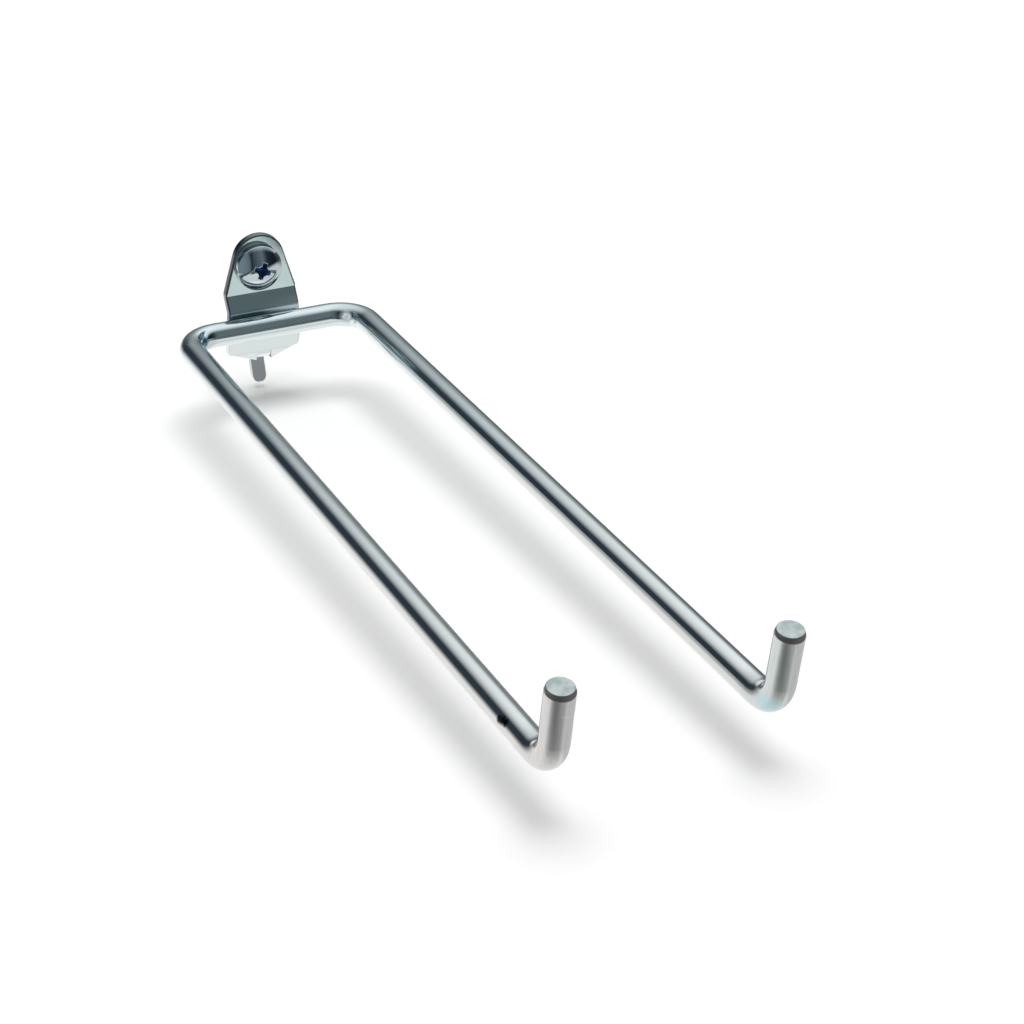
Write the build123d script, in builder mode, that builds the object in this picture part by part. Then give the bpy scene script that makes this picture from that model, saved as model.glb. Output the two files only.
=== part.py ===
from build123d import *
import os
from math import asin, cos, sin, tan, radians

# Double-prong hook for a perforated panel, millimetres.
# X runs to the right along the panel, -Y comes out of the panel, +Z is up.
# The panel's face is the plane Y = 0 and the screw's axis is the line X = 0, Z = 0.

# Panel that the hook is made for
panel_t = 3.2              # thickness of the board that the tongue grips
tongue_bite = 0.2          # the tongue's tip stands this much closer, so that it presses on the board

# Hook wire
wire_d = 6.35              # diameter of the round steel wire
prong_spacing = 48.5       # between the centres of the two prongs
prong_reach = 218.7        # from the back bar's axis to the corner where the tips turn up
prong_splay = 0.45         # each prong has sprung this far outwards at its tip
tip_rise = 20.1            # from that corner to the end of the tip, along the tip
tip_turn = 80.0            # angle that the wire turns through at the tips
corner_r = 8.5             # wire axis radius of the two back corners
tip_r = 8.0                # wire axis radius of the two tip bends
end_draw = 1.1             # the shears draw the wire's end down over this length
end_draw_in = 0.36         # and by this much in radius
end_round = 0.2            # rounding round the end face, from the plating barrel
wire_offset = 0.6          # the wire is welded this far right of the bracket's middle
screw_above_bar = 15.25    # from the back bar's axis up to the screw's axis

# Bracket sheet
sheet_t = 1.9              # sheet thickness
weld_step = 2.2            # the weld pad stands this far in front of the tab
weld_sink = 0.2            # the welded bar is pressed this far into the pad
sheet_roll = 0.5           # rolled-over front edge of the blanked sheet
tab_half = 9.75            # half width of the tab at its foot
tab_dome_r = 7.0           # radius of the tab's round top
tab_dome_z = 1.45          # height of the round top's centre above the screw
tab_foot_z = -6.9          # the tab's tapered sides end here
crease_z = -7.85           # upper crease, where the sheet leaves the panel
pad_top_z = -11.35         # upper edge of the weld pad
pad_bottom_z = -18.55      # lower edge of the weld pad
lower_crease_z = -24.35    # lower crease, where the sheet is back at the panel
skirt_flare = 0.25         # the sheet below the bar is this much wider each side than the tab
skirt_wide_z = -19.5       # full width is reached here
taper_z = -24.1            # the tapered lower edge starts here
taper_end_z = -27.1        # and meets the tongue here
crease_r = 1.7             # mid-sheet radius of the shallow creases
foot_round = 1.2           # rounding of the sheet's corners, seen from the front

# Tongue
tongue_w = 3.7             # width of the tongue
tongue_relief = 0.2        # slit each side, so that the tongue can bend away from the sheet
neck_z = -26.1             # mid-sheet height of the neck that goes through the panel
neck_r = 1.45              # mid-sheet radius of the bend from the sheet into the neck
heel_r = 2.0               # mid-sheet radius of the bend from the neck into the tongue
tongue_lean = 12.0         # the tongue leans back towards the panel by this angle
tongue_skew = 0.35         # its tip stands this far right of its root
tongue_tip_z = -35.8       # lowest point of the tongue's mid-sheet line

# Screw
screw_d = 6.35             # outside diameter of the thread
screw_length = 9.5         # under the head
blank_d = 5.5              # plain shank under the head, as thick as the rolled thread's blank
end_chamfer = 0.8          # at the screw's blunt end
head_edge = 0.15           # small bevel round the head's underside
rim_edge = 0.1             # the dome starts this far inside the head's rim
head_d = 12.4              # diameter of the domed head
head_h = 4.7               # height of the head
head_wall = 2.1            # height of the head's side wall
recess_span = 5.4          # across two opposite wings of the cross recess
recess_wing = 1.5          # width of a wing at its mouth
recess_core = 3.0          # diameter of the recess between the wings
recess_depth = 3.1         # depth of the cross recess
recess_draft = 5.0         # the wings narrow inwards by this angle a side
recess_cone = 27.0         # half angle of the cone that the wings end on
recess_lead = 0.4          # the recess is cut from this far in front of the head
recess_turn = -22.0        # how far the screw happens to be turned
hole_d = 8.0               # hole in the tab
hole_x = 0.7               # the screw sits this far left of the hole's centre
hole_z = -0.25             # and this far above it

# Derived places
wire_r = wire_d / 2
half_t = sheet_t / 2
bracket_x = hole_x
skirt_half = tab_half + skirt_flare
wire_x = bracket_x + wire_offset
pad_front = -(sheet_t + weld_step)
bar_y = pad_front - wire_r + weld_sink
bar_z = -screw_above_bar
half_spacing = prong_spacing / 2
tip_spacing = half_spacing + prong_splay
tip_y = bar_y - prong_reach
lean_out = radians(90 - tip_turn)
tip_end_y = tip_y - tip_rise * sin(lean_out)
tip_end_z = bar_z + tip_rise * cos(lean_out)
tongue_front_y = panel_t - tongue_bite
tongue_mid_y = tongue_front_y + half_t * cos(radians(tongue_lean))
heel_y = tongue_mid_y + (neck_z - tongue_tip_z) * tan(radians(tongue_lean))

os.makedirs("parts", exist_ok=True)

# Hook wire: one length of round wire. From the left tip it runs down, back to the panel,
# across behind, and out again to the right tip.
with BuildPart() as hook_wire:
    with BuildLine() as wire_path:
        FilletPolyline(
            (wire_x - tip_spacing, tip_end_y, tip_end_z),
            (wire_x - tip_spacing, tip_y, bar_z),
            (wire_x - half_spacing, bar_y, bar_z),
            (wire_x + half_spacing, bar_y, bar_z),
            (wire_x + tip_spacing, tip_y, bar_z),
            (wire_x + tip_spacing, tip_end_y, tip_end_z),
            radius=[tip_r, corner_r, corner_r, tip_r],
        )
    with BuildSketch(Plane(origin=wire_path.wire() @ 0, z_dir=wire_path.wire() % 0)):
        Circle(wire_r)
    sweep()
    # Each sheared end is drawn down a little round its rim, and then rounded.
    for side in (Axis.X, -Axis.X):
        end_face = hook_wire.faces().filter_by(GeomType.PLANE).sort_by(side)[-1]
        chamfer(end_face.edges(), end_draw_in, end_draw, reference=end_face)
        end_face = hook_wire.faces().filter_by(GeomType.PLANE).sort_by(side)[-1]
        fillet(end_face.edges(), end_round)
hook_wire.part.label = "hook_wire"

# Tongue: bent back through the panel, then down behind it. Its tip is a half circle.
slit_top = neck_z + neck_r
with BuildPart() as tongue:
    with BuildSketch(Plane.YZ) as tongue_side:
        with BuildLine():
            FilletPolyline(
                (-half_t, slit_top + tongue_relief),
                (-half_t, neck_z),
                (heel_y, neck_z),
                (tongue_mid_y, tongue_tip_z),
                radius=[neck_r, heel_r],
            )
        trace(line_width=sheet_t)
    extrude(amount=head_d, both=True)
    with BuildSketch(Plane.XZ) as tongue_outline:
        with Locations((bracket_x, slit_top + tongue_w), (bracket_x + tongue_skew, tongue_tip_z + tongue_w / 2)):
            Circle(tongue_w / 2)
        make_hull()
    extrude(amount=prong_spacing, both=True, mode=Mode.INTERSECT)

# Bracket, made of one stamped strip that is bent in four shallow creases.
# Each corner of the side line is where two flat stretches of mid-sheet meet.
with BuildPart() as bracket:
    with BuildSketch(Plane.YZ) as sheet_side:
        with BuildLine():
            FilletPolyline(
                (-half_t, tab_dome_z + tab_dome_r + sheet_t),
                (-half_t, crease_z),
                (-half_t - weld_step, pad_top_z),
                (-half_t - weld_step, pad_bottom_z),
                (-half_t, lower_crease_z),
                (-half_t, taper_end_z - sheet_t),
                radius=crease_r,
            )
        trace(line_width=sheet_t)
    extrude(amount=prong_spacing, both=True)

    # Outline from the front: round top and straight tapering sides down to a short square foot,
    # then the weld pad, the wider skirt and the tapered lower edge.
    with BuildSketch(Plane.XZ) as front_outline:
        with Locations((bracket_x, tab_dome_z)):
            Circle(tab_dome_r)
        with Locations((bracket_x, (tab_foot_z + crease_z) / 2)):
            Rectangle(2 * tab_half, tab_foot_z - crease_z)
        make_hull()
        with BuildLine():
            Polyline(
                (bracket_x - tab_half, crease_z),
                (bracket_x + tab_half, crease_z),
                (bracket_x + tab_half, pad_top_z),
                (bracket_x + skirt_half, skirt_wide_z),
                (bracket_x + skirt_half, taper_z),
                (bracket_x + tongue_w / 2, taper_end_z),
                (bracket_x - tongue_w / 2, taper_end_z),
                (bracket_x - skirt_half, taper_z),
                (bracket_x - skirt_half, skirt_wide_z),
                (bracket_x - tab_half, pad_top_z),
                (bracket_x - tab_half, crease_z),
            )
        make_face()
        outer_corners = front_outline.vertices().filter_by(lambda v: abs(v.Y - taper_z) < foot_round)
        fillet(outer_corners, foot_round)
        # The tongue and its two slits leave the flat sheet above the tapered edge.
        with Locations((bracket_x, (slit_top + tongue_tip_z) / 2)):
            Rectangle(tongue_w + 2 * tongue_relief, slit_top - tongue_tip_z, mode=Mode.SUBTRACT)
    extrude(amount=prong_spacing, both=True, mode=Mode.INTERSECT)

    # The tongue starts in the flat sheet, between the slits.
    add(tongue.part)

    with BuildSketch(Plane.XZ) as screw_hole:
        with Locations((hole_x, hole_z)):
            Circle(hole_d / 2)
    extrude(amount=head_d, both=True, mode=Mode.SUBTRACT)
    # The blanking tool rolls the sheet's front rim over, all round from one tapered edge to the other.
    # front_y follows the front surface: flat tab, slope, weld pad, slope, flat lower edge.
    def front_y(z):
        rise = (crease_z - z) / (crease_z - pad_top_z)
        fall = (z - lower_crease_z) / (pad_bottom_z - lower_crease_z)
        return -sheet_t - weld_step * max(0, min(rise, fall, 1))

    def on_rim(edge):
        spot = edge.center()
        off_middle = abs(spot.X - bracket_x)
        return abs(spot.Y - front_y(spot.Z)) < sheet_t / 3 and (off_middle > tab_dome_r or spot.Z > tab_dome_z)

    fillet(bracket.edges().filter_by(on_rim), sheet_roll)

    # The bar's weld seat: it follows the wire round and is as deep as the wire is pressed in.
    with BuildSketch(Plane(origin=(0, bar_y, bar_z), x_dir=(0, 1, 0), z_dir=(1, 0, 0))):
        Circle(wire_r)
    extrude(amount=prong_spacing, both=True, mode=Mode.SUBTRACT)
bracket.part.label = "bracket"

# Cross recess: four wings that narrow inwards, round a core, all inside a steep cone
head_front = -(sheet_t + head_h)
wall_front = -(sheet_t + head_wall)
dome_h = head_h - head_wall
dome_half = head_d / 2 - rim_edge
dome_r = (dome_half**2 + dome_h**2) / (2 * dome_h)
dome_mid = asin(dome_half / dome_r) / 2
recess_plane = Plane(origin=(0, head_front - recess_lead, 0), x_dir=(1, 0, 0), z_dir=(0, -1, 0))
with BuildPart() as recess:
    with BuildSketch(recess_plane):
        Rectangle(recess_span, recess_wing, rotation=recess_turn)
        Rectangle(recess_wing, recess_span, rotation=recess_turn)
        Circle(recess_core / 2)
    extrude(amount=-(recess_lead + recess_depth), taper=recess_draft)
    with BuildSketch(recess_plane):
        Circle(recess_span / 2)
    extrude(amount=-(recess_lead + recess_depth), taper=recess_cone, mode=Mode.INTERSECT)

# Screw: domed pan head with the recess, on a short blunt shank.
# Its profile is turned about the Y axis, and the head is in front of the tab.
with BuildPart() as screw:
    with BuildSketch(Plane.XY) as half_profile:
        with BuildLine():
            Polyline(
                (0, head_front),
                (0, screw_length - sheet_t),
                (screw_d / 2 - end_chamfer, screw_length - sheet_t),
                (screw_d / 2, screw_length - sheet_t - end_chamfer),
                (screw_d / 2, 0),
                (blank_d / 2, 0),
                (blank_d / 2, -sheet_t),
                (head_d / 2 - head_edge, -sheet_t),
                (head_d / 2, -sheet_t - head_edge),
                (dome_half, wall_front),
            )
            ThreePointArc(
                (dome_half, wall_front),
                (dome_r * sin(dome_mid), head_front + dome_r * (1 - cos(dome_mid))),
                (0, head_front),
            )
        make_face()
    revolve(axis=Axis.Y)
    add(recess.part, mode=Mode.SUBTRACT)
screw.part.label = "screw"

export_step(hook_wire.part, "parts/hook_wire.step")
export_step(bracket.part, "parts/bracket.step")
export_step(screw.part, "parts/screw.step")

for piece in (hook_wire, bracket, screw):
    box = piece.part.bounding_box()
    print(piece.part.label, round(piece.part.volume, 1), box.min, box.max)
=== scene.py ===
# %% [markdown]
# This lesson dresses a double-prong pegboard hook of bright zinc-plated steel. The real hook is one
# length of 6.35 mm round wire, welded across a small bent bracket, and a screw with a domed head
# holds the bracket to a perforated panel. The solid model gives the exact shapes, so the lesson adds
# what a machinist's model leaves out: the plating and its wear, the screw's thread, and the studio
# that a mirror-like object needs before it looks like metal at all.

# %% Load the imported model
import math

import bpy
import numpy as np
from mathutils import Matrix, Vector


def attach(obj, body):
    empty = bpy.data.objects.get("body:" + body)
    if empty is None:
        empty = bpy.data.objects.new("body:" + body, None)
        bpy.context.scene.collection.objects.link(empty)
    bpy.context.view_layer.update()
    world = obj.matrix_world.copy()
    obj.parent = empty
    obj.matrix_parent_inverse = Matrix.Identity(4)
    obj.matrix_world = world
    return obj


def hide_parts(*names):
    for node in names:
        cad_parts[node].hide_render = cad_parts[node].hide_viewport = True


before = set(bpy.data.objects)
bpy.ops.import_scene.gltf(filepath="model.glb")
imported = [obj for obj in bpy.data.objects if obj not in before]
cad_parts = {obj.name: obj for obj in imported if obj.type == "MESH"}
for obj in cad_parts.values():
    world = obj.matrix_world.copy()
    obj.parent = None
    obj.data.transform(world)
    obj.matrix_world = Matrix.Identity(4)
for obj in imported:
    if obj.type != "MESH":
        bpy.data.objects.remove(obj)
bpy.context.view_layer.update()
MM = 0.001
print("nodes:", sorted(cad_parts))

# %% [markdown]
# Colours are written as the sRGB hex values that a person would pick from a screen. Blender's
# shaders work with linear light, so one function turns a hex value into linear red, green and blue.


# %% Colour helper
def srgb(hex_code):
    """Each channel is divided by 255, and the sRGB curve is undone with a power of 2.4 above its foot."""
    channels = [int(hex_code[i : i + 2], 16) / 255 for i in (1, 3, 5)]
    linear = [c / 12.92 if c <= 0.04045 else ((c + 0.055) / 1.055) ** 2.4 for c in channels]
    return (*linear, 1.0)


print("mid grey is", [round(c, 3) for c in srgb("#808080")])

# %% [markdown]
# Every material below is a small graph of shader nodes. One function adds a node, fills in its
# settings and constant inputs, and links other nodes to its sockets, so that each material can be
# read from top to bottom as a list.


# %% Node helper
MULTIPLY = {"operation": "MULTIPLY"}
MAXIMUM = {"operation": "MAXIMUM"}
ABSOLUTE = {"operation": "ABSOLUTE"}
DOT_PRODUCT = {"operation": "DOT_PRODUCT"}
DISTANCE = {"operation": "DISTANCE"}
COLOURS = {"data_type": "RGBA"}
SMOOTH = {"interpolation_type": "SMOOTHSTEP"}


def output_in_use(node):
    """The first output that the node's settings leave in use."""
    return next(socket for socket in node.outputs if socket.enabled)


def add_node(tree, kind, settings=None, **inputs):
    """Adds a node. settings are attributes. Each input is a constant, an output socket, or another node,
    which stands for its output in use. An input is named by its socket, with spaces written as
    underscores, or by its number, as i0 or i1, where several sockets have one name."""
    node = tree.nodes.new(kind)
    for name, value in (settings or {}).items():
        setattr(node, name, value)
    for name, value in inputs.items():
        if name[1:].isdigit():
            socket = node.inputs[int(name[1:])]
        else:
            socket_name = name.replace("_", " ")
            socket = next(s for s in node.inputs if s.enabled and s.name == socket_name)
        if isinstance(value, bpy.types.Node):
            value = output_in_use(value)
        if isinstance(value, bpy.types.NodeSocket):
            tree.links.new(value, socket)
        else:
            socket.default_value = value
    return node


def new_material(name):
    """An empty material and its node tree."""
    material = bpy.data.materials.new(name)
    material.use_nodes = True
    material.node_tree.nodes.clear()
    return material, material.node_tree


print("node helper ready")

# %% [markdown]
# The screw's thread is the one form that the solid model leaves out. It is a rolled 1/4 in thread,
# 20 turns to the inch, that starts at the panel's face, where the plain blank under the head ends.
# A helix is easiest as a surface of revolution whose radius depends on the angle as well as on the
# place along the screw, so one grid gives the whole thread.


# %% Rolled thread
def rolled_thread(start, end, blank, crest, root, pitch, bevel, columns=72, rows_per_turn=18):
    """Surface of revolution about Y whose radius depends on the turn. The phase is y over the pitch less
    the angle over a full turn. The radius is the crest near the middle of the phase, the root near its
    ends, and straight in between. It grows out of the blank in one pitch, and a bevel closes the end."""
    crest_half, foot_half = 0.08, 0.40
    rows = int((end - start) / pitch * rows_per_turn)
    angle = np.linspace(0, 2 * np.pi, columns, endpoint=False)
    y, turn = np.meshgrid(np.linspace(start, end, rows), angle, indexing="ij")
    phase = np.mod((y - start) / pitch - turn / (2 * np.pi), 1.0)
    flank = np.clip((foot_half - np.abs(phase - 0.5)) / (foot_half - crest_half), 0, 1)
    grown = np.clip((y - start) / pitch, 0, 1)
    radius = blank + (root + (crest - root) * flank - blank) * grown * grown * (3 - 2 * grown)
    radius = np.minimum(radius, crest - bevel + (end - y))
    points = np.stack((radius * np.cos(turn), y, radius * np.sin(turn)), axis=-1).reshape(-1, 3)
    here = np.arange(rows * columns).reshape(rows, columns)
    beside = np.roll(here, -1, axis=1)
    quads = np.stack((here[:-1], here[1:], beside[1:], beside[:-1]), axis=-1).reshape(-1, 4)
    tip = np.full(columns, rows * columns)
    fan = np.stack((tip, beside[-1], here[-1]), axis=-1)
    points = np.vstack((points, [(0, end, 0)]))
    return points, np.vstack((quads[:, [0, 1, 2]], quads[:, [0, 2, 3]], fan))


thread, thread_faces = rolled_thread(
    start=0.0,
    end=7.6 * MM,
    blank=2.75 * MM,
    crest=3.17 * MM,
    root=2.42 * MM,
    pitch=1.27 * MM,
    bevel=0.8 * MM,
)
print("thread triangles:", len(thread_faces))

# %% [markdown]
# The screw's head is the solid model's own surface. Its triangles in front of the panel's face are
# kept with their exact normals, so the dome stays smooth and the recess stays crisp, and the thread
# takes the place of the plain shank behind that plane.

# %% Screw with its thread
# A corner nearer to the panel's face than HAIR is on it. Corners that agree to MERGE_DECIMALS of a
# metre are one.
HAIR = 0.001 * MM
MERGE_DECIMALS = 7
cad_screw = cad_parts["screw"]
corners = np.empty(len(cad_screw.data.loops), np.int64)
cad_screw.data.loops.foreach_get("vertex_index", corners)
places = np.empty(len(cad_screw.data.vertices) * 3)
cad_screw.data.vertices.foreach_get("co", places)
normals = np.empty(len(cad_screw.data.loops) * 3)
cad_screw.data.corner_normals.foreach_get("vector", normals)
places, normals, corners = places.reshape(-1, 3), normals.reshape(-1, 3, 3), corners.reshape(-1, 3)
depth = places[corners][:, :, 1]
on_head = (depth.max(axis=1) < HAIR) & (depth.min(axis=1) < -HAIR)
merged, first = np.unique(np.round(places, MERGE_DECIMALS), axis=0, return_inverse=True)
head = first.reshape(-1)[corners[on_head]]
head_normals = normals[on_head]
flat = (head[:, 0] == head[:, 1]) | (head[:, 1] == head[:, 2]) | (head[:, 2] == head[:, 0])
head, head_normals = head[~flat], head_normals[~flat]
used, head = np.unique(head, return_inverse=True)
faces = np.vstack((head.reshape(-1, 3), thread_faces + len(used)))
screw_mesh = bpy.data.meshes.new("threaded_screw")
screw_mesh.from_pydata(np.vstack((merged[used], thread)).tolist(), [], faces.tolist())
screw_mesh.polygons.foreach_set("use_smooth", np.ones(len(faces), bool))
thread_normals = np.zeros((len(thread_faces) * 3, 3))
screw_mesh.normals_split_custom_set(np.vstack((head_normals.reshape(-1, 3), thread_normals)).tolist())
screw = bpy.data.objects.new("threaded_screw", screw_mesh)
bpy.context.collection.objects.link(screw)
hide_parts("screw")
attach(screw, "root")
print("screw triangles:", len(faces))

# %% [markdown]
# All three pieces are steel that was barrel plated with bright zinc and passivated blue. The
# plating gives a mirror with a faint blue-green cast. It is not a perfect one: drawing and rolling
# leave very fine lines in the steel, and the tumbling barrel leaves soft ripples and small scuffs.
# A second function lays wear over it: where its masks are white, the metal gets another tint and
# roughness.

# %% Bright zinc plating and its wear
CLOUD = 7 * MM
SCUFF = 1.2 * MM


def zinc_plating(name, tints, roughness, ripple, scuffing, stretch=(1, 1, 1)):
    """Metal with cloudy passivation between two tints, soft ripples of the size ripple, and sparse scuffs
    that are rougher by scuffing. stretch makes the scuffs longer along an axis. Returns the material, its
    tree and its shader."""
    material, tree = new_material(name)
    place = add_node(tree, "ShaderNodeTexCoord").outputs["Object"]
    cloud = add_node(tree, "ShaderNodeTexNoise", Vector=place, Scale=1 / CLOUD, Detail=3.0, Roughness=0.6)
    tone = add_node(tree, "ShaderNodeMix", COLOURS, Factor=cloud, A=srgb(tints[0]), B=srgb(tints[1]))
    grain = add_node(tree, "ShaderNodeMapping", Vector=place, Scale=[1 / (SCUFF * s) for s in stretch])
    scuff = add_node(tree, "ShaderNodeTexNoise", Vector=grain, Scale=1.0, Detail=6.0, Roughness=0.7)
    scuffed = add_node(tree, "ShaderNodeMapRange", Value=scuff, From_Min=0.5, From_Max=0.75)
    rough = add_node(
        tree, "ShaderNodeMapRange", Value=scuffed, To_Min=roughness, To_Max=roughness + scuffing
    )
    rippled = add_node(tree, "ShaderNodeTexNoise", Vector=place, Scale=1 / ripple, Detail=2.0)
    bump = add_node(tree, "ShaderNodeBump", Height=rippled, Strength=0.25, Distance=0.02 * MM)
    shader = add_node(
        tree, "ShaderNodeBsdfPrincipled", Base_Color=tone, Metallic=1.0, Roughness=rough, Normal=bump
    )
    add_node(tree, "ShaderNodeOutputMaterial", Surface=shader)
    return material, tree, shader


def lay_wear(tree, shader, hex_code, roughness, *masks):
    """Where the product of the masks is 1, the shader's colour becomes hex_code and its roughness becomes
    roughness. Returns that product."""
    worn, *others = masks
    for mask in others:
        worn = add_node(tree, "ShaderNodeMath", MULTIPLY, i0=worn, i1=mask)
    for name, kind, value in (("Base Color", COLOURS, srgb(hex_code)), ("Roughness", {}, roughness)):
        below = shader.inputs[name].links[0].from_socket
        mixed = add_node(tree, "ShaderNodeMix", kind, Factor=worn, A=below, B=value)
        tree.links.new(output_in_use(mixed), shader.inputs[name])
    return worn


print("plating and wear ready")

# %% [markdown]
# The wire is cold drawn. Its straight runs are bright, bluish at the back, and more neutral towards the
# tips, where they are also painted brighter as a painted highlight. The prongs' undersides get painted
# shade that grows towards the tips. Ramps on the place along the prong make both changes, so no image is
# needed.

# %% Drawn wire
wire_zinc, tree, shader = zinc_plating(
    "bright_zinc_on_drawn_wire",
    ("#dce6e9", "#e8eeee"),
    roughness=0.10,
    ripple=3.0 * MM,
    scuffing=0.12,
    stretch=(1, 6, 1),
)
place = add_node(tree, "ShaderNodeTexCoord").outputs["Object"]
x, y, _ = add_node(tree, "ShaderNodeSeparateXYZ", Vector=place).outputs
# Towards the tips the wire is more neutral and painted brighter, a painted highlight.
neutral_and_lit = add_node(
    tree, "ShaderNodeMapRange", Value=y, From_Min=-50 * MM, From_Max=-190 * MM, To_Max=0.9
)
lay_wear(tree, shader, "#efeeeb", 0.11, neutral_and_lit)
# The prongs' undersides get painted shade, growing towards the tips.
normal = add_node(tree, "ShaderNodeNewGeometry").outputs["Normal"]
facing_up = add_node(tree, "ShaderNodeSeparateXYZ", Vector=normal).outputs["Z"]
under = add_node(tree, "ShaderNodeMapRange", Value=facing_up, From_Min=0.35, From_Max=0.05)
underside_shade_to_tips = add_node(tree, "ShaderNodeMapRange", Value=y, From_Min=-20 * MM, From_Max=-190 * MM)
lay_wear(tree, shader, "#d3d6d6", 0.13, under, underside_shade_to_tips)
print("wire material has", len(tree.nodes), "nodes so far")

# %% [markdown]
# The bender's dies dulled both tips, so they are greyer, with fine scratches along them. The right
# one is greener on its inner side. The left one has part of a ring where it was gripped: a thin
# pale line, a little askew, that ends short of the left side.

# %% Dulled tips
dulled = add_node(
    tree, "ShaderNodeMapRange", SMOOTH, Value=y, From_Min=-213 * MM, From_Max=-222 * MM
)
lay_wear(tree, shader, "#d2d1d0", 0.2, dulled)
inner_side = add_node(
    tree, "ShaderNodeMapRange", Value=x, From_Min=27 * MM, From_Max=23 * MM, To_Max=0.9
)
on_right = add_node(tree, "ShaderNodeMath", {"operation": "GREATER_THAN"}, i0=x, i1=0.0)
lay_wear(tree, shader, "#cbd4d2", 0.2, inner_side, dulled, on_right)
SCRATCH_WIDTH = 0.3 * MM
SCRATCH_LENGTH = 5 * MM
scratch_scale = (1 / SCRATCH_WIDTH, 1 / SCRATCH_WIDTH, 1 / SCRATCH_LENGTH)
scratch_place = add_node(tree, "ShaderNodeMapping", Vector=place, Scale=scratch_scale)
scratch = add_node(tree, "ShaderNodeTexNoise", Vector=scratch_place, Scale=1.0, Detail=3.0)
scratched = add_node(
    tree, "ShaderNodeMapRange", Value=scratch, From_Min=0.56, From_Max=0.72, To_Max=0.6
)
lay_wear(tree, shader, "#b8b5b5", 0.3, scratched, dulled)
# The distance up the tips, which lean out by ten degrees, is a dot product. It is TIP_ZERO at the
# corner where the wire's axis turns up.
TIP_LEAN = math.radians(10)
TIP_ZERO = 24.18 * MM
tip_axis = (0.0, -math.sin(TIP_LEAN), math.cos(TIP_LEAN))
up_tip = add_node(tree, "ShaderNodeVectorMath", DOT_PRODUCT, i0=place, i1=tip_axis)
# The ring is RING_UP above TIP_ZERO where x is RING_X, and lower by RING_SLOPE to the right of it. It
# shows within ARC_HALF of ARC_X only.
RING_UP = 15.0 * MM
RING_X = -23.4 * MM
RING_SLOPE = 0.35
ARC_X = -21.2 * MM
ARC_HALF = 3.0 * MM
askew = add_node(
    tree, "ShaderNodeMath", {"operation": "MULTIPLY_ADD"}, i0=x, i1=RING_SLOPE, i2=up_tip
)
ring_level = TIP_ZERO + RING_UP + RING_SLOPE * RING_X
ring_off = add_node(tree, "ShaderNodeMath", {"operation": "SUBTRACT"}, i0=askew, i1=ring_level)
ring_far = add_node(tree, "ShaderNodeMath", ABSOLUTE, i0=ring_off)
ring = add_node(
    tree, "ShaderNodeMapRange", Value=ring_far, From_Min=0.16 * MM, From_Max=0.06 * MM, To_Max=0.7
)
on_arc = add_node(tree, "ShaderNodeMath", {"operation": "COMPARE"}, i0=x, i1=ARC_X, i2=ARC_HALF)
lay_wear(tree, shader, "#e6eaea", 0.4, ring, on_arc)
print("tips lean out by", round(math.degrees(TIP_LEAN)), "degrees")

# %% [markdown]
# The ends were sheared. The shear drew the rim down, so it is dark, dull and wider in front, and it
# left the face pale and a little mottled.

# %% Sheared ends
# The rim starts RIM_UP above TIP_ZERO where y is RIM_Y, and lower by RIM_SLOPE in front of that.
RIM_UP = 19.2 * MM
RIM_Y = -229.1 * MM
RIM_SLOPE = 0.13
RIM_EDGE = 0.1 * MM
rim_level = TIP_ZERO + RIM_UP - RIM_SLOPE * RIM_Y
wider_in_front = add_node(
    tree, "ShaderNodeMath", {"operation": "MULTIPLY_ADD"}, i0=y, i1=-RIM_SLOPE, i2=up_tip
)
rim = add_node(
    tree,
    "ShaderNodeMapRange",
    Value=wider_in_front,
    From_Min=rim_level - RIM_EDGE,
    From_Max=rim_level + RIM_EDGE,
)
lay_wear(tree, shader, "#8b8580", 0.5, rim)
# The face is all that lies more than FACE_UP above TIP_ZERO.
FACE_UP = 20.04 * MM
FACE_EDGE = 0.05 * MM
face_level = TIP_ZERO + FACE_UP
cut_face = add_node(
    tree, "ShaderNodeMapRange", Value=up_tip, From_Min=face_level - FACE_EDGE, From_Max=face_level
)
lay_wear(tree, shader, "#dcdfde", 0.42, cut_face)
MOTTLE = 2.2 * MM
mottle = add_node(tree, "ShaderNodeTexNoise", Vector=place, Scale=1 / MOTTLE, Detail=4.0)
mottled = add_node(
    tree, "ShaderNodeMapRange", Value=mottle, From_Min=0.42, From_Max=0.6, To_Max=0.8
)
lay_wear(tree, shader, "#bfcbc9", 0.5, mottled, cut_face)
print("sheared faces are", round(FACE_UP / MM, 2), "mm up the tips")

# %% [markdown]
# Small marks lie on the wire. Inside the back right corner and inside both upturned tips are crushed
# white spots with a painted highlight on them. Inside the back left corner is a painted dark blue
# reflection. A dark spot lies under the left prong, and the plating is bluer on the right tip's heel.
# Each mark fades out from its centre and is broken up by a fine noise. The white spots are chalky where
# crushed and no longer a mirror, so such marks also take away the metallic look, which keeps their
# painted highlight bright from every side.

# %% Marks on the wire
PATCH = 0.7 * MM
# A mark is full within this share of its size. The noise is about a half, so the strength is two.
MARK_CORE = 0.4
MARK_STRENGTH = 2.0
# A mark that is rougher than this is chalky, with a painted highlight.
MATT_WHITE_ROUGHNESS = 0.7
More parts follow.
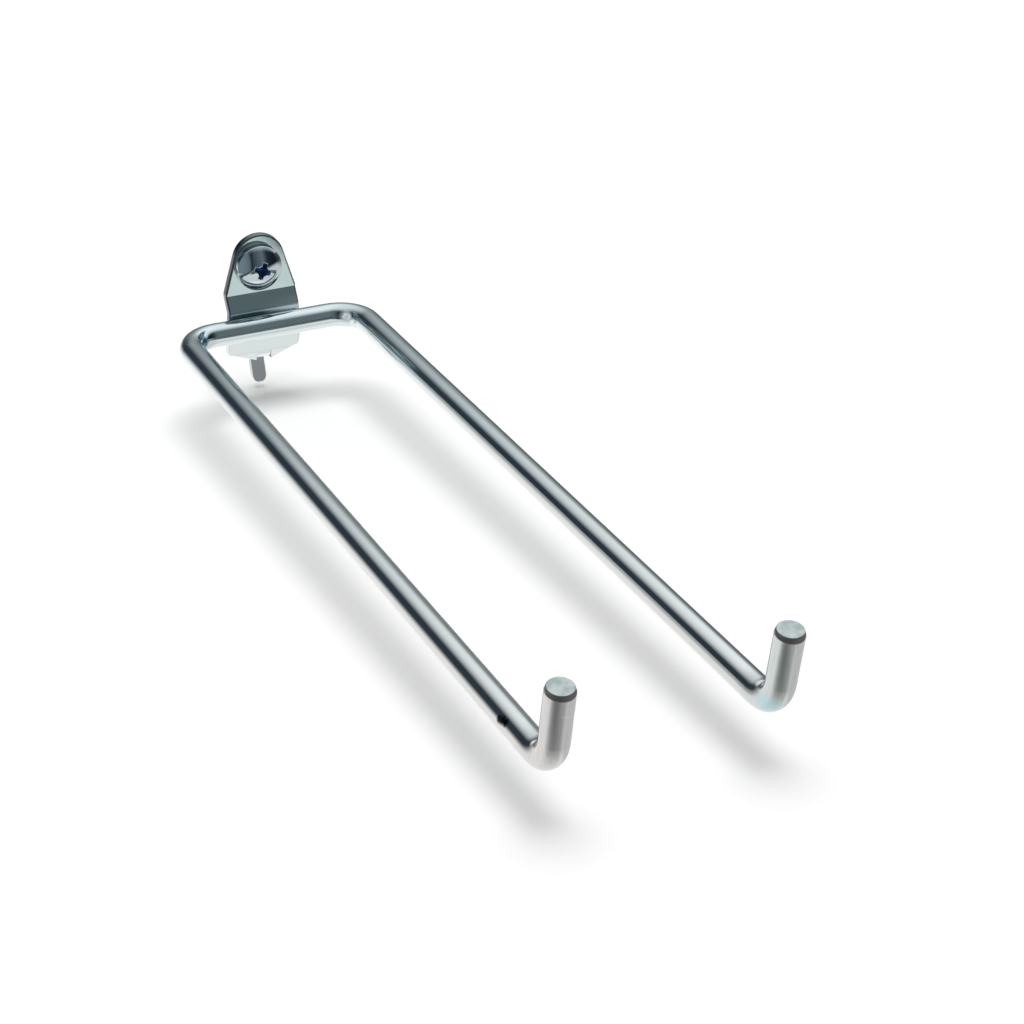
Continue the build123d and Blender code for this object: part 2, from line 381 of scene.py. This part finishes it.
# Place in mm, size in mm, tint, roughness
marks = (
    # Crushed white spot with a painted highlight, inside the back right corner
    ((20.8, -11.8, -14.6), 1.7, "#eef4f4", 0.75),
    # Painted dark blue reflection inside the back left corner
    ((-18.7, -12.1, -14.3), 2.0, "#2a7898", 0.3),
    ((-26.2, -208.3, -14.0), 1.1, "#1c1e26", 0.2),
    ((-26.1, -209.5, -13.7), 1.3, "#1c1e26", 0.2),
    ((-26.0, -210.7, -13.5), 1.2, "#1c1e26", 0.2),
    ((23.9, -226.6, -14.0), 4.5, "#b8d0d8", 0.2),
    # Crushed white spots with painted highlights, inside both tips
    ((-24.9, -221.3, -12.3), 1.0, "#e0e8e8", 0.8),
    ((25.2, -221.0, -12.2), 1.4, "#dce4e4", 0.8),
)
patchy = add_node(tree, "ShaderNodeTexNoise", Vector=place, Scale=1 / PATCH, Detail=3.0)
chalk_and_highlight = 0.0
for centre, size, tint, roughness in marks:
    far = add_node(
        tree, "ShaderNodeVectorMath", DISTANCE, i0=place, i1=[c * MM for c in centre]
    )
    near = add_node(
        tree,
        "ShaderNodeMapRange",
        Value=far,
        From_Min=size * MM,
        From_Max=MARK_CORE * size * MM,
        To_Max=MARK_STRENGTH,
    )
    spot = lay_wear(tree, shader, tint, roughness, near, patchy)
    if roughness > MATT_WHITE_ROUGHNESS:
        chalk_and_highlight = add_node(tree, "ShaderNodeMath", MAXIMUM, i0=chalk_and_highlight, i1=spot)
metal = add_node(
    tree, "ShaderNodeMath", {"operation": "SUBTRACT", "use_clamp": True}, i0=1.0, i1=chalk_and_highlight
)
tree.links.new(output_in_use(metal), shader.inputs["Metallic"])
print("wire material has", len(tree.nodes), "nodes and", len(marks), "marks")

# %% [markdown]
# The bracket is rolled sheet, so its plating is a little less sharp. The shear drew a roll-over round its
# front edge, left the cut itself grey, and raised a burr at the back. The dark lines along the roll-over
# and the burr are painted shade. How far a face is turned outwards tells the roll-over from the cut.

# %% Rolled sheet and its sheared edge
sheet_zinc, tree, shader = zinc_plating(
    "bright_zinc_on_rolled_sheet",
    ("#c8d9da", "#cfdede"),
    roughness=0.14,
    ripple=2.0 * MM,
    scuffing=0.07,
    stretch=(5, 1, 1),
)
place = add_node(tree, "ShaderNodeTexCoord").outputs["Object"]
x, y, z = add_node(tree, "ShaderNodeSeparateXYZ", Vector=place).outputs
normal = add_node(tree, "ShaderNodeNewGeometry").outputs["True Normal"]
facing_right, _, facing_up = add_node(tree, "ShaderNodeSeparateXYZ", Vector=normal).outputs
sideways = add_node(tree, "ShaderNodeMath", ABSOLUTE, i0=facing_right)
on_tab = add_node(tree, "ShaderNodeMapRange", Value=z, From_Min=-7.0 * MM, From_Max=-6.5 * MM)
upwards = add_node(tree, "ShaderNodeMath", MULTIPLY, i0=facing_up, i1=on_tab)
outwards = add_node(tree, "ShaderNodeMath", MAXIMUM, i0=sideways, i1=upwards)
above_bar = add_node(
    tree, "ShaderNodeMapRange", Value=z, From_Min=-20 * MM, From_Max=-16 * MM, To_Min=0.1
)
# The burr's painted shade grows over the last 0.35 mm of the cut before the tab's back plane.
back_edge = add_node(tree, "ShaderNodeMapRange", Value=y, From_Min=-0.35 * MM, From_Max=-0.1 * MM)
shaded_burr = add_node(tree, "ShaderNodeMath", MULTIPLY, i0=back_edge, i1=outwards)
# Roll-over with painted shade, cut, and burr with painted shade: how far the face is turned outwards,
# tint, roughness
for turned, start, full, tint, roughness in (
    (outwards, 0.2, 0.4, "#697275", 0.3),
    (outwards, 0.85, 0.97, "#a2a5a5", 0.38),
    (shaded_burr, 0.5, 0.8, "#363b3e", 0.4),
):
    sheared = add_node(tree, "ShaderNodeMapRange", Value=turned, From_Min=start, From_Max=full)
    lay_wear(tree, shader, tint, roughness, sheared, above_bar)
print("sheet material has", len(tree.nodes), "nodes so far")

# %% [markdown]
# The slope over the welded bar is painted lighter towards its lower right corner, a painted highlight.
# The crevice over the bar is painted dark as painted shade, most of all on the left, where the weld is.
# Below it, the skirt and the tapered strip are painted paler, a painted reflection of the bright paper
# below, and where the sheet was cut free round the tongue, it is pale and a little rough.

# %% Slope, crevice and tongue
# Painted highlight on the slope's lower right.
to_right = add_node(tree, "ShaderNodeMapRange", Value=x, From_Min=-1 * MM, From_Max=9 * MM)
slope_highlight = add_node(tree, "ShaderNodeMapRange", Value=z, From_Min=-9 * MM, From_Max=-11.3 * MM)
lay_wear(tree, shader, "#fbffff", 0.32, to_right, slope_highlight)
# Painted shade in the crevice over the bar, strongest on the left.
crevice_shade_top = add_node(tree, "ShaderNodeMapRange", Value=z, From_Min=-11.7 * MM, From_Max=-12.2 * MM)
crevice_shade_foot = add_node(tree, "ShaderNodeMapRange", Value=z, From_Min=-17.5 * MM, From_Max=-15 * MM)
shade_less_right = add_node(
    tree, "ShaderNodeMapRange", Value=x, From_Min=0.0, From_Max=8 * MM, To_Min=0.9, To_Max=0.35
)
lay_wear(tree, shader, "#56707a", 0.25, crevice_shade_top, crevice_shade_foot, shade_less_right)
# Skirt and tapered strip, painted paler as a painted reflection, and tongue: heights in mm where each
# starts and is full, tint, roughness
for start, full, tint, roughness in (
    (-18.6, -19.2, "#dde6e6", 0.15),
    (-24.2, -24.8, "#eff4f4", 0.16),
    (-27.4, -28.4, "#f0f0f0", 0.5),
):
    below = add_node(tree, "ShaderNodeMapRange", Value=z, From_Min=start * MM, From_Max=full * MM)
    lay_wear(tree, shader, tint, roughness, below)
print("sheet material has", len(tree.nodes), "nodes")

# %% [markdown]
# The screw is the brightest piece: a cold-headed dome that mirrors the whole studio. The punch left its
# cross recess matt, and the recess is painted dark and blue as painted shade. The shader rounds the
# recess's sharp mouth, so it catches a thin line of light, as a punched edge does. A point is inside the
# recess where it is deeper than the dome, which falls back by the distance from the axis squared over
# twice the dome's radius.

# %% Headed screw
DOME_RADIUS = 8.45 * MM
HEAD_FRONT = -6.6 * MM
# The recess lies within RECESS_RADIUS of the axis and in front of BEHIND_RECESS.
RECESS_RADIUS = 2.75 * MM
BEHIND_RECESS = -3.2 * MM
MOUTH_ROUNDING = 0.3 * MM
screw_zinc, tree, shader = zinc_plating(
    "bright_zinc_on_headed_screw",
    ("#d3dce2", "#e2e8ec"),
    roughness=0.06,
    ripple=3.5 * MM,
    scuffing=0.05,
)
place = add_node(tree, "ShaderNodeTexCoord").outputs["Object"]
x, y, z = add_node(tree, "ShaderNodeSeparateXYZ", Vector=place).outputs
off_axis = add_node(tree, "ShaderNodeCombineXYZ", X=x, Z=z)
r_squared = add_node(tree, "ShaderNodeVectorMath", DOT_PRODUCT, i0=off_axis, i1=off_axis)
dome = add_node(
    tree, "ShaderNodeMath", {"operation": "DIVIDE"}, i0=r_squared, i1=2 * DOME_RADIUS
)
flattened = add_node(tree, "ShaderNodeMath", {"operation": "SUBTRACT"}, i0=y, i1=dome)
recess_shade = add_node(
    tree,
    "ShaderNodeMapRange",
    Value=flattened,
    From_Min=HEAD_FRONT + 0.45 * MM,
    From_Max=HEAD_FRONT + 0.8 * MM,
)
near_axis = add_node(
    tree, "ShaderNodeMath", {"operation": "LESS_THAN"}, i0=r_squared, i1=RECESS_RADIUS**2
)
in_head = add_node(tree, "ShaderNodeMath", {"operation": "LESS_THAN"}, i0=y, i1=BEHIND_RECESS)
# Painted shade inside the cross recess.
lay_wear(tree, shader, "#7595be", 0.5, recess_shade, near_axis, in_head)
rounded = add_node(tree, "ShaderNodeBevel", {"samples": 6}, Radius=MOUTH_ROUNDING)
bump = shader.inputs["Normal"].links[0].from_node
tree.links.new(output_in_use(rounded), bump.inputs["Normal"])

for piece, material in (
    (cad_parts["hook_wire"], wire_zinc),
    (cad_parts["bracket"], sheet_zinc),
    (screw, screw_zinc),
):
    piece.data.materials.clear()
    piece.data.materials.append(material)
    print(piece.name, "wears", material.name)

# %% [markdown]
# The camera is a real one: a long lens about 0.66 m away, found by matching the wire's outline.

# %% Camera
CAMERA_PLACE = Vector((-200.61, -582.01, 249.34)) * MM
CAMERA_RIGHT = Vector((0.904445, -0.426579, 0.003162))
CAMERA_UP = Vector((0.19662, 0.423435, 0.884332))
camera_data = bpy.data.cameras.new("photo_camera")
camera_data.sensor_width = 36.0
camera_data.lens = 87.972
camera = bpy.data.objects.new("photo_camera", camera_data)
bpy.context.collection.objects.link(camera)
turn = Matrix((CAMERA_RIGHT, CAMERA_UP, CAMERA_RIGHT.cross(CAMERA_UP))).transposed()
camera.matrix_world = Matrix.Translation(CAMERA_PLACE) @ turn.to_4x4()
bpy.context.scene.camera = camera
print("camera distance in mm:", round(CAMERA_PLACE.length / MM))

# %% [markdown]
# The hook floats above a white table, and the soft shadow on it tells how high: about 20 mm under
# the wire. The table falls away a little towards the back. It is a plain matt card. The camera sees
# it slightly brighter than white paper, as in a picture taken for a catalogue, where everything
# but the shadow is pure white. The metal doesn't see this card, but the paper described below.

# %% White table under the hook
# In metres: half the table's width, then the place along Y and the height of two points on it
TABLE_HALF = 4.0
TABLE_AT_BACK = (-0.007, -0.0372)
TABLE_AT_TIPS = (-0.216, -0.0310)
table_slope = (TABLE_AT_TIPS[1] - TABLE_AT_BACK[1]) / (TABLE_AT_TIPS[0] - TABLE_AT_BACK[0])
table_corners = np.array([(-1, -1), (1, -1), (1, 1), (-1, 1)]) * TABLE_HALF
heights = TABLE_AT_BACK[1] + (table_corners[:, 1] - TABLE_AT_BACK[0]) * table_slope
table_mesh = bpy.data.meshes.new("table")
table_mesh.from_pydata(np.column_stack((table_corners, heights)).tolist(), [], [(0, 1, 2, 3)])
table = bpy.data.objects.new("table", table_mesh)
bpy.context.collection.objects.link(table)
table.visible_glossy = False

BRIGHTER_THAN_WHITE = (1.04, 1.04, 1.04, 1)
white_card, tree = new_material("matt_white_card")
ray = add_node(tree, "ShaderNodeLightPath").outputs
card_tone = add_node(
    tree, "ShaderNodeMix", COLOURS, Factor=ray["Is Camera Ray"], A=srgb("#e8e8e8"), B=BRIGHTER_THAN_WHITE
)
card = add_node(tree, "ShaderNodeBsdfDiffuse", Color=card_tone)
add_node(tree, "ShaderNodeOutputMaterial", Surface=card)
table_mesh.materials.append(white_card)
print("table slope in degrees:", round(math.degrees(math.atan(table_slope)), 2))

# %% [markdown]
# Bright plating is a mirror, so most of its look is the room round it. A metal object in an evenly
# white room looks like grey plastic. Here the metal sees what a studio holds: white paper below,
# a dim room at eye level, navy on the left and nearly black at the right front, with a lamp's dark
# stand beside the camera, and a large cloth light panel above. The direction of a ray decides
# which of them it meets. The room's tones are strengths of light, so they are written as linear
# values. Two colour ramps hold the eye level from left to right, one for the back and one for the
# camera's side.

# %% Walls at eye level
room = bpy.data.worlds.new("studio_room")
bpy.context.scene.world = room
room.use_nodes = True
tree = room.node_tree
tree.nodes.clear()
gaze = add_node(tree, "ShaderNodeTexCoord").outputs["Generated"]
x, y, z = add_node(tree, "ShaderNodeSeparateXYZ", Vector=gaze).outputs
to_right = add_node(tree, "ShaderNodeMapRange", SMOOTH, Value=x, From_Min=-0.1, From_Max=0.5)
to_back = add_node(tree, "ShaderNodeMapRange", SMOOTH, Value=y, From_Min=-0.3, From_Max=0.3)
across = add_node(tree, "ShaderNodeMapRange", Value=x, From_Min=-1.0)
back_wall = add_node(tree, "ShaderNodeValToRGB", Fac=across)
camera_side = add_node(tree, "ShaderNodeValToRGB", Fac=across)
back_stops = (
    (0.20, (0.026, 0.039, 0.055, 1)),
    (0.32, (0.027, 0.039, 0.055, 1)),
    (0.44, (0.068, 0.080, 0.090, 1)),
    (0.60, (0.123, 0.139, 0.147, 1)),
    (0.76, (0.105, 0.124, 0.137, 1)),
)
camera_side_stops = (
    (0.10, (0.185, 0.245, 0.275, 1)),
    (0.25, (0.140, 0.185, 0.210, 1)),
    (0.335, (0.034, 0.046, 0.056, 1)),
    (0.50, (0.083, 0.110, 0.132, 1)),
    (0.675, (0.140, 0.170, 0.180, 1)),
    (0.80, (0.022, 0.033, 0.046, 1)),
    (0.925, (0.010, 0.015, 0.022, 1)),
)
for wall, stops in ((back_wall, back_stops), (camera_side, camera_side_stops)):
    while len(wall.color_ramp.elements) < len(stops):
        wall.color_ramp.elements.new(1.0)
    for element, (position, colour) in zip(wall.color_ramp.elements, stops):
        element.position = position
        element.color = colour
# The lamp's stand is a thin dark upright line beside the camera.
STAND_SIDE = Vector((1.0, -0.37, 0.0)).normalized()
STAND_TONE = (0.006, 0.009, 0.014, 1)
stand_off = add_node(tree, "ShaderNodeVectorMath", DOT_PRODUCT, i0=gaze, i1=STAND_SIDE)
stand_far = add_node(tree, "ShaderNodeMath", ABSOLUTE, i0=stand_off)
stand = add_node(
    tree,
    "ShaderNodeMapRange",
    SMOOTH,
    Value=stand_far,
    From_Min=0.008,
    From_Max=0.05,
    To_Min=0.8,
    To_Max=0.0,
)
in_front = add_node(tree, "ShaderNodeMix", COLOURS, Factor=stand, A=camera_side, B=STAND_TONE)
eye_level = add_node(tree, "ShaderNodeMix", COLOURS, Factor=to_back, A=in_front, B=back_wall)
# The right-hand part of the back wall brightens upwards.
GLOW_TONE = (0.285, 0.315, 0.325, 1)
rise = add_node(tree, "ShaderNodeMapRange", SMOOTH, Value=z, From_Min=-0.02, From_Max=0.32)
back_right = add_node(tree, "ShaderNodeMath", MULTIPLY, i0=to_back, i1=to_right)
glow = add_node(tree, "ShaderNodeMath", MULTIPLY, i0=rise, i1=back_right)
upper = add_node(tree, "ShaderNodeMix", COLOURS, Factor=glow, A=eye_level, B=GLOW_TONE)
print("walls have", len(back_stops) + len(camera_side_stops), "tones")

# %% [markdown]
# White paper lies below. The heights where it starts and where it is full differ with the direction
# of the ray, as its edge does in the wire's reflections. In front the paper is brightest far off and
# dimmer on the right, and at the back it is brighter.

# %% White paper below
# Heights on the left and on the right, first at the back and then in front
PAPER_STARTS = ((0.10, -0.16), (-0.42, -0.09))
PAPER_FULL = ((-0.46, -0.52), (-0.52, -0.29))
limits = []
for at_back, at_front in (PAPER_STARTS, PAPER_FULL):
    back_height = add_node(
        tree,
        "ShaderNodeMapRange",
        Value=x,
        From_Min=-0.1,
        From_Max=0.5,
        To_Min=at_back[0],
        To_Max=at_back[1],
    )
    front_height = add_node(
        tree,
        "ShaderNodeMapRange",
        Value=x,
        From_Min=-0.3,
        From_Max=0.8,
        To_Min=at_front[0],
        To_Max=at_front[1],
    )
    limits.append(add_node(tree, "ShaderNodeMix", Factor=to_back, A=front_height, B=back_height))
paper_mask = add_node(
    tree, "ShaderNodeMapRange", SMOOTH, Value=z, From_Min=limits[0], From_Max=limits[1]
)
close_by = add_node(tree, "ShaderNodeMapRange", SMOOTH, Value=z, From_Min=-0.42, From_Max=-0.60)
far_right = add_node(tree, "ShaderNodeMapRange", SMOOTH, Value=x, From_Min=0.36, From_Max=0.60)
straight_down = add_node(
    tree, "ShaderNodeMapRange", SMOOTH, Value=z, From_Min=-0.80, From_Max=-0.88
)
paper = (0.92, 0.94, 0.94, 1)
# Each tone covers the ones before it where its mask is 1.
for mask, tone in (
    (close_by, (0.74, 0.77, 0.765, 1)),
    (to_back, (1.05, 1.04, 1.03, 1)),
    (far_right, (0.69, 0.70, 0.70, 1)),
    (straight_down, (0.97, 0.975, 0.96, 1)),
):
    paper = add_node(tree, "ShaderNodeMix", COLOURS, Factor=mask, A=paper, B=tone)
print("room has", len(tree.nodes), "nodes so far")

# %% [markdown]
# Only rays that a mirror sends out meet this room. The camera itself sees white behind the hook,
# and matt surfaces get an even light, so the table stays free of the room's dark parts.

# %% What each ray meets
EVEN_LIGHT = (0.5, 0.5, 0.5, 1)
WHITE = (1, 1, 1, 1)
ray = add_node(tree, "ShaderNodeLightPath").outputs
by_metal = add_node(tree, "ShaderNodeMix", COLOURS, Factor=paper_mask, A=upper, B=paper)
by_others = add_node(
    tree, "ShaderNodeMix", COLOURS, Factor=ray["Is Camera Ray"], A=EVEN_LIGHT, B=WHITE
)
mirror_ray = add_node(
    tree, "ShaderNodeMath", MAXIMUM, i0=ray["Is Glossy Ray"], i1=ray["Is Transmission Ray"]
)
seen = add_node(tree, "ShaderNodeMix", COLOURS, Factor=mirror_ray, A=by_others, B=by_metal)
background = add_node(tree, "ShaderNodeBackground", Color=seen, Strength=1.0)
add_node(tree, "ShaderNodeOutputWorld", Surface=background)
print("room has", len(tree.nodes), "nodes")

# %% [markdown]
# The light panel is a real plane, because its glow depends on where a ray meets it, and the bracket
# and the tips see it from different places. Its light is added to the room behind it. A second
# plane, just over the table, holds the soft shadows that both tips throw on the paper towards the
# camera. Only the metal sees these two planes.

# %% Planes of the light panel and of the tips' shadows
PANEL_HEIGHT = 0.40
SHADE_HEIGHT = -0.030
# Lowest and highest corner of each plane, and its height, in metres
planes = {
    "light_panel": ((-0.8, -0.6), (1.8, 2.2), PANEL_HEIGHT),
    "tip_shade": ((-0.12, -0.29), (0.075, -0.21), SHADE_HEIGHT),
}
staged = {}
for name, (low, high, height) in planes.items():
    mesh = bpy.data.meshes.new(name)
    outline = ((low[0], low[1]), (high[0], low[1]), (high[0], high[1]), (low[0], high[1]))
    mesh.from_pydata([(x, y, height) for x, y in outline], [], [(0, 1, 2, 3)])
    staged[name] = bpy.data.objects.new(name, mesh)
    bpy.context.collection.objects.link(staged[name])
    staged[name].visible_camera = False
    staged[name].visible_diffuse = False
    staged[name].visible_shadow = False
print("staged:", sorted(staged))

# %% [markdown]
# The cloth glows most where the prongs' front half mirrors it, and fades out to the left, towards
# the front and far off at the back.

# %% Glowing cloth
CLOTH_TONE = (0.94, 1.0, 1.02, 1)
glow_cloth, tree = new_material("glowing_cloth")
place = add_node(tree, "ShaderNodeTexCoord").outputs["Object"]
x, y, _ = add_node(tree, "ShaderNodeSeparateXYZ", Vector=place).outputs
from_left = add_node(tree, "ShaderNodeMapRange", SMOOTH, Value=x, From_Min=-0.53, From_Max=0.01)
from_front = add_node(tree, "ShaderNodeMapRange", SMOOTH, Value=y, From_Min=-0.35, From_Max=0.0)
to_far = add_node(
    tree, "ShaderNodeMapRange", Value=y, From_Min=0.22, From_Max=0.92, To_Min=0.62, To_Max=0.02
)
over_prongs = add_node(
    tree, "ShaderNodeMapRange", SMOOTH, Value=y, From_Min=0.62, From_Max=0.50, To_Max=0.12
)
fall_off = add_node(tree, "ShaderNodeMath", {"operation": "ADD"}, i0=to_far, i1=over_prongs)
corner_glow = add_node(tree, "ShaderNodeMath", MULTIPLY, i0=from_left, i1=from_front)
panel_glow = add_node(tree, "ShaderNodeMath", MULTIPLY, i0=corner_glow, i1=fall_off)
cloth = add_node(tree, "ShaderNodeEmission", Color=CLOTH_TONE, Strength=panel_glow)
open_air = add_node(tree, "ShaderNodeBsdfTransparent")
both = add_node(tree, "ShaderNodeAddShader", i0=cloth, i1=open_air)
add_node(tree, "ShaderNodeOutputMaterial", Surface=both)
staged["light_panel"].data.materials.append(glow_cloth)
print("cloth material has", len(tree.nodes), "nodes")

# %% [markdown]
# Each tip's shadow is a soft oval, made as the distance from its centre with X squeezed. Seen from
# the left it is lost in the glare of the paper.

# %% Paper in the tips' shade
SHADE_TONE = (0.20, 0.205, 0.205, 1)
SHADE_Y = -0.250
SHADE_X = (-0.0484, 0.0010)
SQUEEZE_X = 0.55
shade_paper, tree = new_material("paper_in_shade")
place = add_node(tree, "ShaderNodeTexCoord").outputs["Object"]
squeezed = add_node(tree, "ShaderNodeVectorMath", MULTIPLY, i0=place, i1=(SQUEEZE_X, 1, 1))
distances = [
    add_node(
        tree, "ShaderNodeVectorMath", DISTANCE, i0=squeezed, i1=(x * SQUEEZE_X, SHADE_Y, SHADE_HEIGHT)
    )
    for x in SHADE_X
]
nearest = add_node(tree, "ShaderNodeMath", {"operation": "MINIMUM"}, i0=distances[0], i1=distances[1])
clear = add_node(
    tree, "ShaderNodeMapRange", SMOOTH, Value=nearest, From_Min=1 * MM, From_Max=33 * MM
)
incoming = add_node(tree, "ShaderNodeNewGeometry").outputs["Incoming"]
viewer_x = add_node(tree, "ShaderNodeSeparateXYZ", Vector=incoming).outputs["X"]
glare = add_node(tree, "ShaderNodeMapRange", Value=viewer_x, From_Min=-0.05, From_Max=-0.3)
see_through = add_node(tree, "ShaderNodeMath", MAXIMUM, i0=clear, i1=glare)
shade = add_node(tree, "ShaderNodeEmission", Color=SHADE_TONE, Strength=1.0)
open_air = add_node(tree, "ShaderNodeBsdfTransparent")
mixed = add_node(tree, "ShaderNodeMixShader", Fac=see_through, i1=shade, i2=open_air)
add_node(tree, "ShaderNodeOutputMaterial", Surface=mixed)
staged["tip_shade"].data.materials.append(shade_paper)
print("shade material has", len(tree.nodes), "nodes")

# %% [markdown]
# One lamp straight overhead throws the shadow. It is 40 degrees wide, so the shadow of the thin
# wire is soft and only a quarter darker than the paper. The metal doesn't mirror it.

# %% Overhead lamp
lamp_data = bpy.data.lights.new("overhead_lamp", "SUN")
lamp_data.angle = math.radians(40)
lamp_data.energy = 1.57
lamp = bpy.data.objects.new("overhead_lamp", lamp_data)
lamp.visible_glossy = False
bpy.context.collection.objects.link(lamp)
bpy.context.scene.view_settings.view_transform = "Standard"
print("lamp strength:", round(lamp_data.energy, 2))
